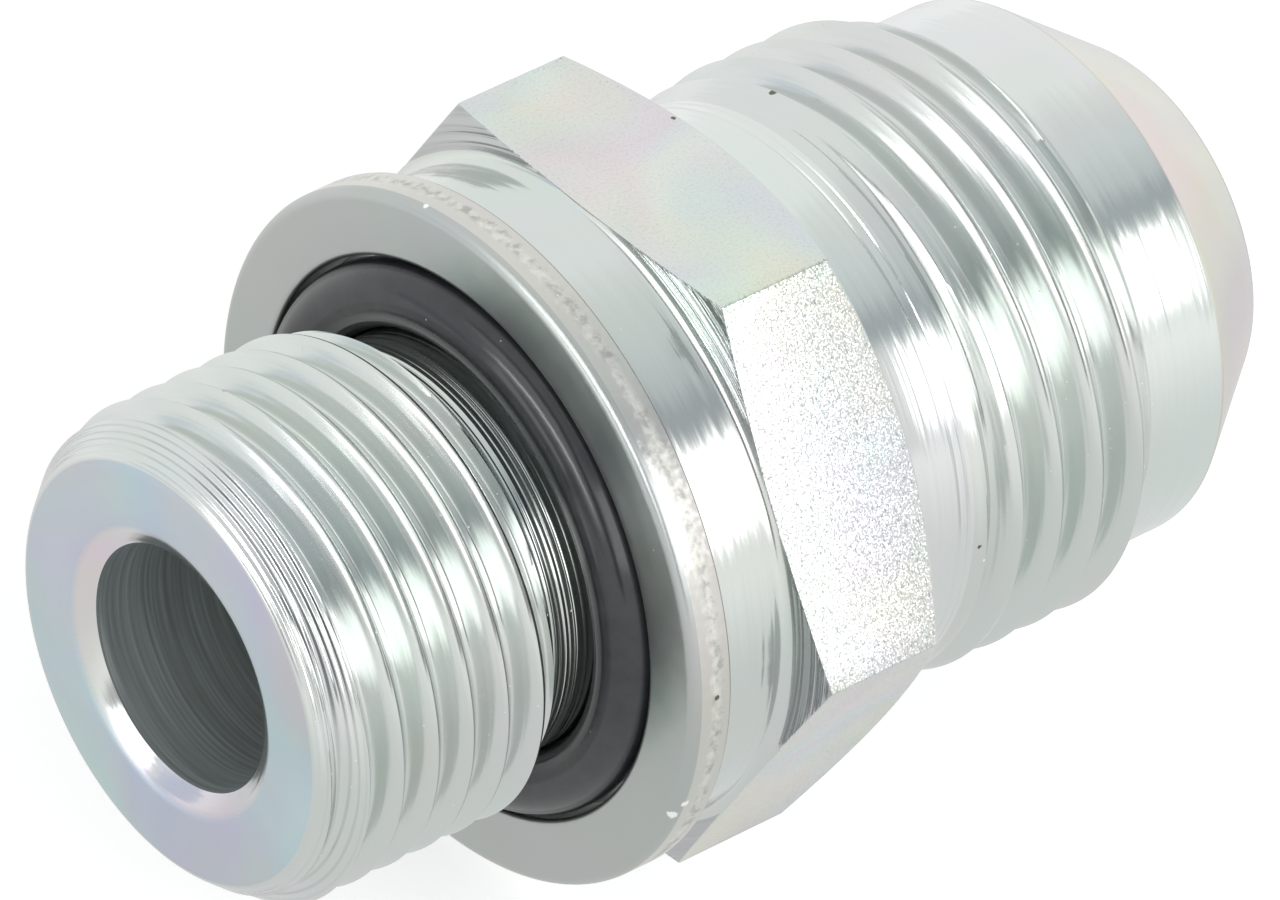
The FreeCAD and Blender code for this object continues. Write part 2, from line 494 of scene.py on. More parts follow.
def thread_marks(spot, pitch, crest, fineness, drift, shift=0.0):
    """Noise that is nearly constant along a right-hand thread, and the same on each of its turns."""
    tree = spot.tree
    wound = times(tree, math_node(tree, "SUBTRACT", spot.x, crest), TURN / pitch)
    wound = math_node(tree, "SUBTRACT", wound, spot.turn)
    reach = fineness * pitch / TURN
    place = combine(tree, math_node(tree, "MULTIPLY_ADD", math_node(tree, "COSINE", wound), reach, shift),
                    times(tree, math_node(tree, "SINE", wound), reach), times(tree, spot.y, drift))
    extra = math_node(tree, "MULTIPLY_ADD", spot.z, drift, times(tree, spot.x, drift))
    return signed_noise(tree, place, extra)


def turned_to(tree, vector, start, end):
    """A normal taken from world to object space or back."""
    return new_node(tree, "ShaderNodeVectorTransform", {"Vector": vector},
                    vector_type="NORMAL", convert_from=start, convert_to=end).outputs[0]


def surface_normal(tree):
    """The surface's own normal in object space."""
    return turned_to(tree, tree.nodes.new("ShaderNodeNewGeometry").outputs["Normal"], "WORLD", "OBJECT")


def lean_normal(tree, shader, lean):
    """Adds this vector in object space to the shader's normal."""
    total = vector_node(tree, "ADD", surface_normal(tree), lean)
    tree.links.new(turned_to(tree, total, "OBJECT", "WORLD"), shader.inputs["Normal"])


def tilt(spot, shader, along, around):
    """Tilts the shader's normal by these sockets along the turned section and round the axis."""
    tree = spot.tree
    ring = spot.round_axis()
    section = vector_node(tree, "CROSS_PRODUCT", surface_normal(tree), ring)
    lean_normal(tree, shader, vector_node(
        tree, "ADD", vector_node(tree, "SCALE", section, scale=along),
        vector_node(tree, "SCALE", ring, scale=around)))


def grain(spot, shader, fineness, strength):
    """Tilts the shader's normal at random, in grains of about one over the fineness in millimetres."""
    noise = spot.noise(fineness, 1.0, Roughness=0.5)
    lean = vector_node(spot.tree, "SUBTRACT", noise.outputs["Color"], grey(0.5))
    lean_normal(spot.tree, shader, vector_node(spot.tree, "SCALE", lean, scale=strength))


def ramp_node(tree, value, stops):
    """A colour ramp through (place, colour) stops."""
    node = tree.nodes.new("ShaderNodeValToRGB")
    tree.links.new(value, node.inputs[0])
    elements = node.color_ramp.elements
    while len(elements) > 1:
        elements.remove(elements[-1])
    elements[0].position = stops[0][0]
    elements[0].color = (*stops[0][1], 1)
    for place, colour in stops[1:]:
        elements.new(place).color = (*colour, 1)
    return node.outputs[0]


def mixed(tree, share, first, second, blend="MIX"):
    """Mixes two colours, each a socket or a tuple."""
    node = new_node(tree, "ShaderNodeMix", data_type="RGBA", blend_type=blend, clamp_factor=False)
    factor, first_input, second_input = (node.inputs[index] for index in (0, 6, 7))
    feed(tree, [factor], [share])
    for socket, colour in ((first_input, first), (second_input, second)):
        linked = isinstance(colour, bpy.types.NodeSocket)
        feed(tree, [socket], [colour if linked else (*colour, 1)])
    return node.outputs[2]


def passivation(spot, base, fineness, strength, shift=0.0):
    """The base colour with the faint rainbow tints of a clear passivated zinc plate."""
    tree = spot.tree
    place = vector_node(tree, "ADD", spot.where, (shift, 0.0, 0.0))
    noise = new_node(tree, "ShaderNodeTexNoise", {
        "Vector": place, "Scale": fineness, "Detail": 2.0, "Roughness": 0.4, "Distortion": 0.6})
    lean = vector_node(tree, "SUBTRACT", noise.outputs["Color"], grey(0.5))
    tint = vector_node(tree, "ADD", vector_node(tree, "SCALE", lean, scale=0.34 * strength), WHITE)
    return mixed(tree, 1.0, tuple(base), tint, "MULTIPLY")


def specks(spot, fineness, share, size, shift=0.0):
    """Mask of round specks: the share of cells that hold one, and their largest radius in millimetres."""
    tree = spot.tree
    place = vector_node(tree, "ADD", spot.where, (shift, 0.0, 0.0))
    cells = new_node(tree, "ShaderNodeTexVoronoi", {"Vector": place, "Scale": fineness, "Randomness": 1.0})
    chance = new_node(tree, "ShaderNodeSeparateColor", {"Color": cells.outputs["Color"]})
    kept = math_node(tree, "GREATER_THAN", chance.outputs[0], 1.0 - share)
    reach = size * fineness
    edge = spread(tree, chance.outputs[1], 0.4 * reach, reach)
    inside = math_node(tree, "SUBTRACT", edge, cells.outputs["Distance"])
    return math_node(tree, "MULTIPLY", kept, fade(tree, inside, 0.0, 0.25 * reach))


def dusted(spot, shader, colour, mask):
    """Metal of this colour with bright dust where the mask is."""
    tree = spot.tree
    tree.links.new(mixed(tree, mask, colour, DUST), shader.inputs["Base Color"])
    tree.links.new(math_node(tree, "SUBTRACT", 1.0, mask), shader.inputs["Metallic"])


def marked(spot, colour, marks):
    """The colour with small ragged marks on it."""
    tree = spot.tree
    for x, radius, turn, size, stain in marks:
        theta = VIEW_SIDE + math.radians(turn)
        centre = (x, radius * math.cos(theta), radius * math.sin(theta))
        ragged = spot.noise(6.0, 2.0).outputs["Fac"]
        off = vector_node(tree, "DISTANCE", spot.where, centre)
        off = math_node(tree, "MULTIPLY_ADD", ragged, size, off)
        colour = mixed(tree, fade(tree, off, 1.5 * size, 1.25 * size), colour, stain)
    return colour


# Materials

def zinc_turned(name, looks, base, marks, comb, fineness=7.0):
    """Turned zinc, with marks and a comb of this strength at the edges of its reflections."""
    material, tree, shader = new_material(name)
    spot = Spot(tree)
    shader.inputs["Roughness"].default_value = looks.turned_roughness
    colour = marked(spot, passivation(spot, base, fineness=0.13, strength=0.35), BODY_MARKS)
    dusted(spot, shader, colour, specks(spot, fineness=1.1, share=0.12, size=0.05))
    tilt(spot, shader, times(tree, turning_marks(spot, fineness, drift=0.06), marks),
         times(tree, turning_marks(spot, 5.5, drift=0.10, shift=31.0), comb))
    return material


def lead_in_ridges(spot, first, last, step):
    """Turned ridges between two stations: a socket that waves between -1 and 1, and where they are."""
    tree = spot.tree
    wobble = turning_marks(spot, 2.5, drift=0.12, shift=11.0)
    phase = times(tree, math_node(tree, "SUBTRACT", spot.x, first), TURN / step)
    ridges = math_node(tree, "SINE", math_node(tree, "MULTIPLY_ADD", wobble, 0.5, phase))
    return ridges, fade(tree, spot.x, last, last - 0.25)


def groove_shade_mask(spot, ridges, inside, first):
    """Mask of the painted shade in the grooves between the ridges: a dark reflection painted in, strongest
    on the side that faces the camera.
    """
    tree = spot.tree
    groove = fade(tree, ridges, -0.364, -0.818)
    past = fade(tree, spot.x, first + 0.3, first + 0.467)
    groove = math_node(tree, "MULTIPLY", groove, math_node(tree, "MULTIPLY", inside, past))
    # The painted shade is strongest on the side that faces the camera
    shade_side = VIEW_SIDE - math.radians(8)
    side = combine(tree, 0.0, math.cos(shade_side), math.sin(shade_side))
    facing = math_node(tree, "DIVIDE", vector_node(tree, "DOT_PRODUCT", spot.where, side), spot.radius)
    shade_by_side = spread(tree, fade(tree, facing, 0.8, 0.911), 0.16, 1.0)
    return math_node(tree, "MULTIPLY", groove, shade_by_side)


def zinc_thread(name, looks, pitch, crest, lead_in):
    """Zinc on a thread, with lines along it, and ridges with painted shade in their grooves where a
    lead-in's stations and step are given.
    """
    material, tree, shader = new_material(name)
    spot = Spot(tree)
    shader.inputs["Roughness"].default_value = looks.thread_roughness
    tint = passivation(spot, looks.zinc, fineness=0.13, strength=0.25, shift=7.0)
    colour = marked(spot, tint, BODY_MARKS)
    along = times(tree, thread_marks(spot, pitch, crest, fineness=9.0, drift=0.10), 0.10)
    if lead_in is not None:
        ridges, inside = lead_in_ridges(spot, *lead_in)
        mask = groove_shade_mask(spot, ridges, inside, lead_in[0])
        # Painted shade: the lead-in's grooves take the dark groove colour
        colour = mixed(tree, mask, colour, tuple(looks.groove))
        ridges = math_node(tree, "MULTIPLY", ridges, inside)
        along = math_node(tree, "MULTIPLY_ADD", ridges, 0.32, along)
    dust = math_node(tree, "MAXIMUM", specks(spot, fineness=1.7, share=0.20, size=0.055),
                     specks(spot, fineness=3.4, share=0.12, size=0.035, shift=5.0))
    dusted(spot, shader, colour, dust)
    around_lines = thread_marks(spot, pitch, crest, fineness=8.0, drift=0.16, shift=19.0)
    tilt(spot, shader, along, times(tree, around_lines, 0.05))
    return material


def zinc_face(looks):
    """Faced end of the stud, tinted, with the paler mouth of the bore."""
    material, tree, shader = new_material("zinc_end_face")
    spot = Spot(tree)
    mouth_edge = looks.mouth_radius / MM
    outer = fade(tree, spot.radius, mouth_edge, mouth_edge + 0.25)
    tree.links.new(spread(tree, outer, 0.14, 0.30), shader.inputs["Roughness"])
    tint = passivation(spot, WHITE, fineness=0.17, strength=1.3, shift=3.0)
    colour = mixed(tree, outer, tuple(looks.mouth), tuple(looks.end_face))
    colour = mixed(tree, 1.0, colour, tint, "MULTIPLY")
    dusted(spot, shader, colour, specks(spot, fineness=1.0, share=0.04, size=0.04))
    tilt(spot, shader, times(tree, turning_marks(spot, 6.0, drift=0.10), 0.035),
         times(tree, turning_marks(spot, 6.0, drift=0.15, shift=31.0), 0.02))
    return material


def zinc_cone(looks):
    """Satin zinc of the flare's cone and nose, tinted yellow and pink."""
    material, tree, shader = new_material("zinc_cone")
    spot = Spot(tree)
    shader.inputs["Roughness"].default_value = 0.26
    colour = passivation(spot, looks.cone, fineness=0.20, strength=0.9, shift=23.0)
    dusted(spot, shader, colour, specks(spot, fineness=1.0, share=0.05, size=0.04))
    tilt(spot, shader, times(tree, turning_marks(spot, 5.0, drift=0.08), 0.03),
         times(tree, turning_marks(spot, 5.0, drift=0.12, shift=31.0), 0.02))
    return material


def bright_flat_dashes(spot, turn):
    """Short grey dashes square to the axis on the flat at this turn about X, the drawn grain with its
    reflection of the bright light painted in, and the mask of that flat.
    """
    tree = spot.tree
    outward = (0.0, math.cos(turn), math.sin(turn))
    sideways = (0.0, -math.sin(turn), math.cos(turn))
    height = vector_node(tree, "DOT_PRODUCT", spot.where, outward)
    across = vector_node(tree, "DOT_PRODUCT", spot.where, sideways)
    noise = new_node(tree, "ShaderNodeTexNoise", {
        "Vector": combine(tree, spot.x, times(tree, across, 0.3), 0.0), "Scale": 13.0, "Detail": 1.0})
    reflection_dash = ramp_node(tree, noise.outputs["Fac"], (
        (0.28, (0.60, 0.65, 0.66)), (0.38, (0.76, 0.81, 0.82)), (0.47, WHITE)))
    return reflection_dash, fade(tree, height, 11.9, 11.95)


def zinc_flats(looks):
    """Drawn flats of the hexagon, grainy, with painted grey dashes on the flat that shows the bright light:
    its grain and a painted reflection.
    """
    material, tree, shader = new_material("zinc_flats")
    spot = Spot(tree)
    shader.inputs["Roughness"].default_value = 0.24
    tint = passivation(spot, looks.flat, fineness=0.22, strength=1.0, shift=2.0)
    mottle = ramp_node(tree, spot.noise(9.0, 2.0).outputs["Fac"], (
        (0.36, grey(0.94)), (0.47, WHITE), (0.70, grey(1.01))))
    # Painted reflection: grey dashes only on the flat at 150 degrees, which shows the bright light
    reflection_dash, bright_flat = bright_flat_dashes(spot, math.radians(150))
    tint = mixed(tree, 1.0, tint, mixed(tree, bright_flat, mottle, reflection_dash), "MULTIPLY")
    pits = specks(spot, fineness=0.8, share=0.20, size=0.05, shift=4.0)
    colour = marked(spot, mixed(tree, pits, tint, (0.42, 0.40, 0.37)), BODY_MARKS)
    dusted(spot, shader, colour, specks(spot, fineness=1.0, share=0.03, size=0.04, shift=9.0))
    grain(spot, shader, fineness=13.0, strength=0.9)
    return material


def steel_bore(name, base):
    """Bored steel with turning lines and a few bright specks."""
    material, tree, shader = new_material(name)
    spot = Spot(tree)
    shader.inputs["Roughness"].default_value = 0.55
    shader.inputs["Metallic"].default_value = 0.6
    lines = turning_marks(spot, 8.0, drift=0.15)
    colour = ramp_node(tree, spread(tree, lines, 0.5, 1.0), (
        (0.2, shade(base, 0.85)), (0.65, tuple(base)), (0.9, shade(base, 1.15))))
    mask = specks(spot, fineness=2.0, share=0.20, size=0.045)
    tree.links.new(mixed(tree, mask, colour, (0.9, 0.92, 0.92)), shader.inputs["Base Color"])
    tilt(spot, shader, times(tree, lines, 0.12), times(tree, lines, 0.03))
    return material


def ring_face(looks):
    """Satin face of the stamped ring."""
    material, tree, shader = new_material("zinc_ring_face")
    spot = Spot(tree)
    shader.inputs["Roughness"].default_value = 0.30
    colour = marked(spot, passivation(spot, looks.washer, fineness=0.15, strength=0.3), RING_MARKS)
    dusted(spot, shader, colour, specks(spot, fineness=0.9, share=0.10, size=0.04))
    grain(spot, shader, fineness=1.6, strength=0.05)
    return material


def ring_rim(looks):
    """Rim of the ring: smooth at both edges, with a rough band where the sheet was sheared, and painted
    shade along its back edge.
    """
    material, tree, shader = new_material("zinc_ring_rim")
    spot = Spot(tree)
    blotches = spot.noise(2.6, 3.0, Roughness=0.6).outputs["Fac"]
    middle = math_node(tree, "ADD", spot.x, spread(tree, blotches, -0.25, 0.25))
    off = math_node(tree, "ABSOLUTE", math_node(tree, "SUBTRACT", middle, looks.seam_station / MM))
    band = fade(tree, off, 0.32, 0.12)
    rough = ramp_node(tree, blotches, (
        (0.36, shade(looks.sheared, 0.72)),
        (0.50, tuple(looks.sheared)),
        (0.66, shade(looks.sheared, 1.18)),
    ))
    smooth = passivation(spot, looks.sheared, fineness=0.15, strength=0.3)
    colour = marked(spot, mixed(tree, band, smooth, rough), RING_MARKS)
    # Painted shade: a dark line where the ring meets the shoulder, for the shadow in the gap
    gap_shade = fade(tree, spot.x, SHOULDER / MM - 0.09, SHOULDER / MM - 0.05)
    colour = mixed(tree, gap_shade, colour, (0.10, 0.105, 0.105))
    dust = math_node(tree, "MULTIPLY", band, specks(spot, fineness=2.2, share=0.30, size=0.05))
    dusted(spot, shader, colour, dust)
    tree.links.new(spread(tree, band, 0.28, 0.44), shader.inputs["Roughness"])
    grain(spot, shader, fineness=4.5, strength=0.16)
    return material


def black_rubber(looks):
    """Moulded black rubber with a soft sheen and a little dust."""
    material, tree, shader = new_material("black_rubber")
    spot = Spot(tree)
    shader.inputs["Roughness"].default_value = 0.17
    shader.inputs["Specular IOR Level"].default_value = 0.6
    colour = ramp_node(tree, spot.noise(1.2, 4.0).outputs["Fac"], (
        (0.3, shade(looks.rubber, 0.85)), (0.7, shade(looks.rubber, 1.2))))
    dust = specks(spot, fineness=1.3, share=0.16, size=0.05)
    tree.links.new(mixed(tree, dust, colour, (0.55, 0.56, 0.58)), shader.inputs["Base Color"])
    grain(spot, shader, fineness=3.0, strength=0.02)
    return material


# Sections and meshes

def polar(x, radius, theta):
    """Point at this station, distance from the axis and turn about it."""
    return Vector((x, radius * math.cos(theta), radius * math.sin(theta)))


def arc_points(x, radius, rounding, start, end, count):
    """Points (station, radius) along an arc, its angles in degrees from +X towards outwards."""
    points = []
    for index in range(count + 1):
        turn = math.radians(start + (end - start) * index / count)
        points.append((x + rounding * math.cos(turn), radius + rounding * math.sin(turn)))
    return points


def run_points(start, end, count):
    """Points (station, radius) along a straight run, after its start and up to its end."""
    return [tuple(low + (high - low) * index / count for low, high in zip(start, end))
            for index in range(1, count + 1)]


def moved(point, along, outward):
    """The point (station, radius) moved by these millimetres."""
    return (point[0] + along * MM, point[1] + outward * MM)


class Skin:
    """A mesh that grows row by row round the axis, with a finish for each strip between rows."""

    def __init__(self, finishes):
        self.mesh = bmesh.new()
        self.finishes = finishes
        self.last = None

    def row(self, points, finish=None):
        """Adds a row of vertices, and a strip from the row before it where a finish is given."""
        verts = [self.mesh.verts.new(point) for point in points]
        if finish is not None:
            slot = self.finishes.index(finish)
            count = len(verts)
            for index in range(count):
                after = (index + 1) % count
                face = self.mesh.faces.new((self.last[index], self.last[after], verts[after], verts[index]))
                face.material_index = slot
        self.last = verts

    def turned(self, profile, finish, joined=False):
        """Rows of a profile of (station, radius) points; the first row starts a new strip unless joined."""
        for index, (x, radius) in enumerate(profile):
            strip = finish if joined or index else None
            self.row([polar(x, radius, TURN * column / COLUMNS) for column in range(COLUMNS)], strip)

    def add(self, mesh, finish):
        """Adds a ready mesh."""
        start = len(self.mesh.faces)
        self.mesh.from_mesh(mesh)
        self.mesh.faces.ensure_lookup_table()
        slot = self.finishes.index(finish)
        for face in self.mesh.faces[start:]:
            face.material_index = slot

    def piece(self, name, crease=30.0):
        """Welds the rows into one piece with outward faces, smooth apart from its sharp edges."""
        bmesh.ops.remove_doubles(self.mesh, verts=self.mesh.verts, dist=3e-6)
        bmesh.ops.dissolve_degenerate(self.mesh, edges=self.mesh.edges, dist=1e-7)
        bmesh.ops.recalc_face_normals(self.mesh, faces=self.mesh.faces)
        open_edges = sum(1 for edge in self.mesh.edges if len(edge.link_faces) != 2)
        if open_edges:
            print(name, "has open edges:", open_edges)
        if self.mesh.calc_volume(signed=True) < 0:
            bmesh.ops.reverse_faces(self.mesh, faces=self.mesh.faces)
        data = bpy.data.meshes.new(name)
        self.mesh.to_mesh(data)
        self.mesh.free()
        for finish in self.finishes:
            data.materials.append(finish)
        data.shade_smooth()
        data.set_sharp_from_angle(angle=math.radians(crease))
        return new_object(name, data)


# Hexagon

def corner_circle(flat, rounding):
    """Distance from the axis to the centre of a corner's rounding, and half the turn that it takes."""
    centre = (flat - rounding) / math.cos(SIXTH / 2)
    half = math.atan2(rounding * math.sin(SIXTH / 2), centre + rounding * math.cos(SIXTH / 2))
    return centre, half


def hexagon_radius(theta, flat, rounding):
    """Distance from the axis to the rounded hexagon, whose corners are at multiples of 60 degrees."""
    centre, half = corner_circle(flat, rounding)
    off = (theta + SIXTH / 2) % SIXTH - SIXTH / 2
    if abs(off) >= half:
        return flat / math.cos(SIXTH / 2 - abs(off))
    return centre * math.cos(off) + math.sqrt(rounding ** 2 - (centre * math.sin(off)) ** 2)


def hexagon_angles(flat, rounding):
    """Angles of the columns, drawn in beside each corner so that its rounding has points of its own."""
    half = corner_circle(flat, rounding)[1]
    per_side = COLUMNS // 6
    angles = []
    for column in range(COLUMNS):
        corner = round(column / per_side)
        off = column - corner * per_side
        beside_corner = abs(off) == 1
        angles.append(corner * SIXTH + off * half if beside_corner else TURN * column / COLUMNS)
    return angles


def hexagon_rear(sizes):
    """Station of the hexagon's rear face."""
    return SHOULDER + sizes.collar_length + sizes.fillet * math.cos(sizes.front_angle) + sizes.face_to_face


def build_hexagon(skin, sizes, body, steep, flats):
    """Collar fillet, steep front face, flats and rear chamfer, as rows from the collar to the rear face."""
    collar_end = SHOULDER + sizes.collar_length
    angles = hexagon_angles(sizes.half_flats, sizes.corner_rounding)
    front = sizes.front_angle
    rear = sizes.rear_angle
    fillet_radius = sizes.collar_radius + sizes.fillet
    front_x = collar_end + sizes.fillet * math.cos(front)
    front_radius = fillet_radius - sizes.fillet * math.sin(front)
    rear_x = front_x + sizes.face_to_face
    soft = sizes.edge_rounding

    fillets, faces, sides, chamfers = [], [], [], []
    for theta in angles:
        radius = hexagon_radius(theta, sizes.half_flats, sizes.corner_rounding)
        # The fillet stops early where the flat is lower than its end
        reach = (radius - fillet_radius) / sizes.fillet
        stop = math.degrees(math.asin(reach)) if reach < -math.sin(front) else -math.degrees(front)
        fillet = arc_points(collar_end, fillet_radius, sizes.fillet, -90, stop, 8)
        edge_x = max(fillet[-1][0], front_x + (radius - front_radius) * math.tan(front))
        back_x = rear_x - (radius - sizes.rear_radius) * math.tan(rear)
        fillets.append(fillet)
        faces.append(run_points(fillet[-1], (edge_x, radius - soft), 6))
        sides.append([(edge_x + soft * 0.3, radius - soft * 0.3), (edge_x + soft, radius),
                      ((edge_x + back_x) / 2, radius), (back_x - soft, radius)])
        chamfers.append([(back_x + soft * 0.1, radius - soft * 0.25),
                         (back_x + soft * math.sin(rear), radius - soft * math.cos(rear)),
                         (rear_x, sizes.rear_radius)])
    for profiles, finish in ((fillets, body), (faces, steep), (sides, flats), (chamfers, body)):
        for row in zip(*profiles):
            skin.row([polar(x, radius, theta) for (x, radius), theta in zip(row, angles)], finish)


# Pieces

def build_bore(skin, stud, flare, finish):
    """Wide bore from its mouth in the nose, drill point, and narrow bore up to its mouth in the stud."""
    wide_mouth = (NOSE - flare.bore_break, flare.bore_radius)
    wide_end = (NOSE - flare.bore_depth, flare.bore_radius)
    point_length = (flare.bore_radius - stud.bore_radius) / math.tan(flare.drill_point)
    narrow_start = (wide_end[0] - point_length, stud.bore_radius)
    narrow_end = (STUD_END + stud.countersink_depth, stud.bore_radius)
    skin.turned([wide_mouth, *run_points(wide_mouth, wide_end, 6), narrow_start], finish["wide_bore"])
    skin.turned(run_points(narrow_start, narrow_end, 12), finish["bore"], joined=True)


def build_stud_face(skin, stud, thread_start, finish):
    """Curved mouth of the bore, end face, and the broken rim up to the thread's start."""
    mouth_steps = 10
    mouth_curve = 1.3
    mouth_width = stud.countersink_radius - stud.bore_radius
    mouth = []
    for step in range(1, mouth_steps + 1):
        left = 1 - step / mouth_steps
        mouth.append((STUD_END + stud.countersink_depth * left ** mouth_curve,
                      stud.countersink_radius - mouth_width * left))
    rim = (STUD_END, stud.face_radius)
    face = run_points(mouth[-1], moved(rim, 0, -0.10), 4)
    skin.turned(mouth + face, finish["end_face"], joined=True)
    skin.turned([moved(rim, 0.01, -0.035), moved(rim, 0.045, 0.02), thread_start],
                finish["turned"], joined=True)


def build_stud(skin, stud, hexagon, tree, identifiers, finish):
    """End face, thread and neck of the stud, the shoulder, and the collar up to the hexagon."""
    slope = math.atan2(stud.crest_radius - stud.face_radius, stud.lead_in)
    start = (STUD_END + stud.rim_rounding, stud.face_radius + stud.rim_rounding * math.tan(slope))
    end_x = STUD_END + stud.thread_end + stud.runout
    build_stud_face(skin, stud, start, finish)
    skin.add(thread_mesh("stud_thread", tree, identifiers, finish["stud_thread"], {
        "Start": start[0], "End": end_x, "Pitch": stud.pitch, "Crest Radius": stud.crest_radius,
        "Depth": stud.depth, "Crest Station": STUD_END + stud.crest_station, "Start Radius": start[1],
        "Start Length": stud.lead_in - stud.rim_rounding, "End Radius": stud.neck_radius,
        "End Length": stud.runout, "Fade In": stud.fade_in, "Crest Rounding": stud.crest_rounding,
        "Root Rounding": stud.root_rounding}), finish["stud_thread"])

    fillet = stud.neck_fillet
    neck_end_x = SHOULDER - fillet
    skin.turned([(end_x, stud.neck_radius), (neck_end_x, stud.neck_radius)], finish["neck"])
    broken = hexagon.collar_break
    shoulder = arc_points(neck_end_x, stud.neck_radius + fillet, fillet, -90, 0, 4)
    shoulder += arc_points(SHOULDER + broken, hexagon.collar_radius - broken, broken, 180, 90, 4)
    shoulder += [(SHOULDER + hexagon.collar_length, hexagon.collar_radius)]
    skin.turned(shoulder, finish["turned"])


def build_flare(skin, flare, rear_x, tree, identifiers, finish):
    """Neck with its two relief lines, thread and smooth band of the flare end."""
    start_x = rear_x + flare.thread_start
    end_x = rear_x + flare.thread_end
    fillet = flare.neck_fillet
    neck = arc_points(rear_x + fillet, flare.neck_radius + fillet, fillet, 180, 270, 3)
    relief_x = rear_x + flare.relief_station
    half_line = flare.relief_width / 6
    for middle in (relief_x, relief_x + flare.relief_width):
        neck += [(middle - half_line, flare.neck_radius),
                 (middle, flare.neck_radius - flare.relief_depth / 2),
                 (middle + half_line, flare.neck_radius)]
    neck += [(start_x, flare.neck_radius)]
    skin.turned(neck, finish["band"], joined=True)
    skin.add(thread_mesh("flare_thread", tree, identifiers, finish["flare_thread"], {
        "Start": start_x, "End": end_x, "Pitch": flare.pitch, "Crest Radius": flare.crest_radius,
        "Depth": flare.depth, "Crest Station": rear_x + flare.crest_station,
        "Start Radius": flare.neck_radius, "Start Length": flare.start_length,
        "End Radius": flare.pilot_radius, "End Length": flare.end_length, "Fade In": flare.fade_in,
        "Crest Rounding": flare.crest_rounding, "Root Rounding": flare.root_rounding,
    }), finish["flare_thread"])
    band_start = (end_x, flare.pilot_radius)
    band_end = moved((rear_x + flare.pilot_end, flare.pilot_radius), -0.12, 0)
    skin.turned([band_start, *run_points(band_start, band_end, 4)], finish["band"])


def build_cone(skin, flare, rear_x, finish):
    """Cone with its rounded edge, rounded nose, nose face, and the chamfer at the bore's mouth."""
    edge = (rear_x + flare.pilot_end, flare.pilot_radius)
    cone = math.atan2(NOSE - edge[0], flare.pilot_radius - flare.nose_radius)
    cone_start = moved(edge, 0.05, -0.07)
    cone_end = (NOSE - flare.nose_rounding * math.sin(cone),
                flare.nose_radius + flare.nose_rounding * math.cos(cone))
    nose = (NOSE, flare.nose_radius)
    section = [moved(edge, -0.03, -0.012), cone_start, *run_points(cone_start, cone_end, 4)]
    section += [moved(nose, -0.06, 0.02), moved(nose, 0, -0.12)]
    section += [(NOSE, flare.bore_radius + flare.bore_break), (NOSE - flare.bore_break, flare.bore_radius)]
    skin.turned(section, finish["cone"], joined=True)


def build_body(scene, finish):
    """The threaded body in one skin, from the wide bore through the stud to the nose."""
    stud, hexagon, flare = scene.stud, scene.hexagon, scene.flare
    tree, identifiers = thread_tree()
    rear_x = hexagon_rear(hexagon)
    skin = Skin(list(finish.values()))
    build_bore(skin, stud, flare, finish)
    build_stud(skin, stud, hexagon, tree, identifiers, finish)
    build_hexagon(skin, hexagon, finish["turned"], finish["steep"], finish["flats"])
    build_flare(skin, flare, rear_x, tree, identifiers, finish)
    build_cone(skin, flare, rear_x, finish)
    piece = skin.piece("fitting_body")
    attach(piece, "root")
    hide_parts("adapter_body")


def build_ring(sizes, face, rim):
    """The retaining ring, with a rounded hole and rim."""
    skin = Skin([face, rim])
    front, back = ring_low.x, ring_high.x
    entry, outer, soft = sizes.entry_rounding, sizes.rim_rounding, sizes.back_rounding
    hole = arc_points(front + entry, sizes.hole_radius + entry, entry, 180, 270, 14)
    hole += [(back, sizes.hole_radius)]
    edge = arc_points(front + outer, sizes.outer_radius - outer, outer, 180, 100, 8)
    rim_start = (front + outer, sizes.outer_radius)
    side = [rim_start, moved(rim_start, 0.3, 0)]
    side += arc_points(back - soft, sizes.outer_radius - soft, soft, 90, 0, 4)
    skin.turned(list(reversed(hole)) + edge, face)
    skin.turned(side, rim, joined=True)
    skin.turned([(back, sizes.hole_radius)], face, joined=True)
    piece = skin.piece("ring", crease=40.0)
    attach(piece, "root")
    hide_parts("retaining_ring")


def build_seal(sizes, finish):
    """The O-ring, with a round section."""
    skin = Skin([finish])
    centre = SHOULDER - sizes.station
    skin.turned(arc_points(centre, sizes.centre_radius, sizes.section_radius, 0, 360, 40), finish)
    piece = skin.piece("seal", crease=60.0)
    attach(piece, "root")
    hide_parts("o_ring")


# Stage

def around(along, turn):
    """Unit direction with that share along +X, turned about X by these degrees from the camera's side."""
    side = math.sqrt(max(0.0, 1 - along * along))
    return polar(along, side, VIEW_SIDE + math.radians(turn))


def set_axes(holder, x_axis, y_axis, z_axis, place):
    """Turns the object's own axes to these directions and puts it at this place."""
    matrix = Matrix((x_axis, y_axis, z_axis)).transposed().to_4x4()
    matrix.translation = place
    holder.matrix_world = matrix


def strip_lamp(name, target, distance, low, high, first, last, radiance):
    """A lamp parallel to X that covers these shares along X and these turns about it."""
    middle = around(0.0, (first + last) / 2)
    near, far = (distance * share / math.sqrt(1 - share * share) for share in (low, high))
    lamp = bpy.data.lights.new(name, "AREA")
    lamp.shape = "RECTANGLE"
    lamp.size = far - near
    lamp.size_y = 2 * distance * math.tan(math.radians(last - first) / 2)
    lamp.energy = radiance * math.pi * lamp.size * lamp.size_y
    along = Vector((1, 0, 0))
    place = target + middle * distance + along * (near + far) / 2
    set_axes(new_object(name, lamp), along, middle.cross(along), middle, place)


